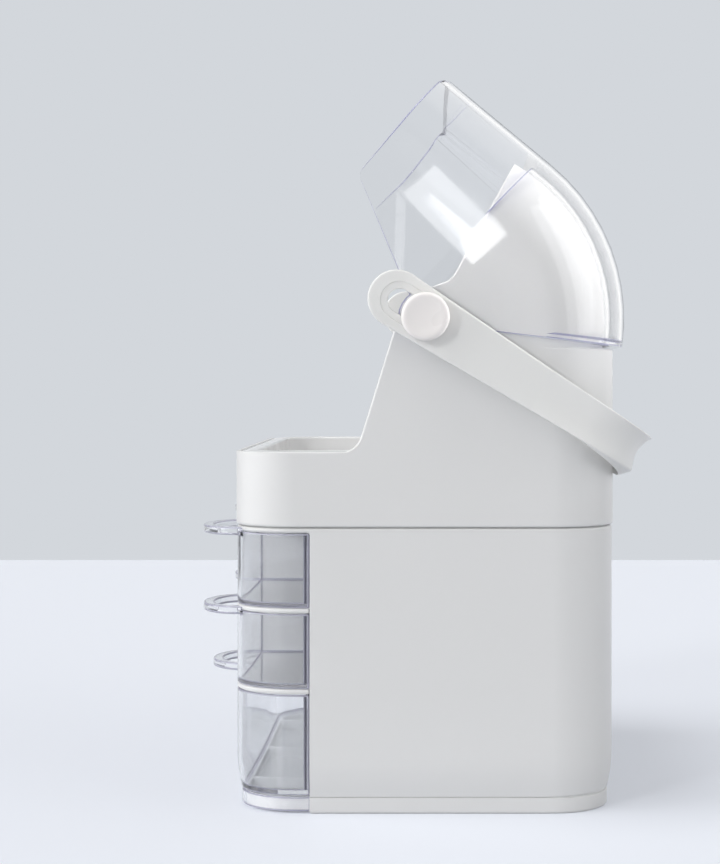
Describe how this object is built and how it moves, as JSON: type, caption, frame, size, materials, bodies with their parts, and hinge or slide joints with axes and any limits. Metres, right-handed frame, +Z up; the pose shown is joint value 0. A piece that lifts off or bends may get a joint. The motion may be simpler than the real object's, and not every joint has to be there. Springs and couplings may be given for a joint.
{
  "type": "makeup organizer",
  "caption": "White countertop cosmetics case with clear drawers, an open tray, and a tall hooded compartment closed by a clear turning lid and visor, with a swing handle.",
  "frame": {"origin": "centre of the flat underside of the base, on the surface it stands on", "axes": "+X to the right-hand side seen from behind the drawers, -Y out of the drawer fronts, +Z up; lid, visor and handle turn about a line along X"},
  "size_m": [0.306, 0.2555, 0.4009],
  "materials": {
    "white_case": "satin moulded white plastic",
    "white_insert": "glossy moulded white plastic",
    "clear_plastic": "clear polished plastic",
    "milky_plastic": "milky translucent plastic",
    "rubber_pad": "matte grey rubber",
    "steel": "plain zinc-plated steel"
  },
  "bodies": {
    "case": {"base_plate": "white_case", "lower_housing": "white_case", "shelf_upper": "white_case", "shelf_lower": "white_case", "drawer_divider_upper": "white_case", "drawer_divider_lower": "white_case", "upper_housing": "white_case", "rear_divider": "white_case", "tray_divider_left": "white_case", "tray_divider_right": "white_case", "pivot_knob_left": "white_case", "pivot_knob_right": "white_case", "tray_insert": "white_insert", "pivot_washer_left": "steel", "pivot_washer_right": "steel", "pivot_screw_left": "steel", "pivot_screw_right": "steel", "foot_pad_1": "rubber_pad", "foot_pad_2": "rubber_pad", "foot_pad_3": "rubber_pad", "foot_pad_4": "rubber_pad"},
    "lid": {"front_lid": "clear_plastic"},
    "visor": {"middle_visor": "clear_plastic"},
    "handle_bushes": {"handle_bush_left": "milky_plastic", "handle_bush_right": "milky_plastic"},
    "handle": {"handle": "milky_plastic"},
    "drawer_top_left": {"drawer_top_left": "clear_plastic"},
    "drawer_top_right": {"drawer_top_right": "clear_plastic"},
    "drawer_middle_left": {"drawer_middle_left": "clear_plastic"},
    "drawer_middle_right": {"drawer_middle_right": "clear_plastic"},
    "drawer_bottom": {"drawer_bottom": "clear_plastic"}
  },
  "joints": [
    {"name": "lid_turn", "type": "hinge", "parent": "case", "child": "lid", "pos_m": [0, 0.001, 0.2695], "axis": [1, 0, 0], "range_deg": [0, 129.6]},
    {"name": "visor_turn", "type": "hinge", "parent": "case", "child": "visor", "pos_m": [0, 0.001, 0.2695], "axis": [1, 0, 0], "range_deg": [0, 67.5]},
    {"name": "handle_turn", "type": "hinge", "parent": "case", "child": "handle_bushes", "pos_m": [0, 0.001, 0.2695], "axis": [1, 0, 0], "range_deg": [0, 122]},
    {"name": "handle_slide", "type": "slide", "parent": "handle_bushes", "child": "handle", "axis": [0, 0.848, -0.5299], "range_m": [0, 0.0165]},
    {"name": "drawer_top_left_slide", "type": "slide", "parent": "case", "child": "drawer_top_left", "axis": [0, -1, 0], "range_m": [0, 0.13]},
    {"name": "drawer_top_right_slide", "type": "slide", "parent": "case", "child": "drawer_top_right", "axis": [0, -1, 0], "range_m": [0, 0.13]},
    {"name": "drawer_middle_left_slide", "type": "slide", "parent": "case", "child": "drawer_middle_left", "axis": [0, -1, 0], "range_m": [0, 0.13]},
    {"name": "drawer_middle_right_slide", "type": "slide", "parent": "case", "child": "drawer_middle_right", "axis": [0, -1, 0], "range_m": [0, 0.13]},
    {"name": "drawer_bottom_slide", "type": "slide", "parent": "case", "child": "drawer_bottom", "axis": [0, -1, 0], "range_m": [0, 0.13]}
  ],
  "couplings": [
    {"joint": "visor_turn", "follows": "lid_turn", "ratio": 0.52}
  ]
}
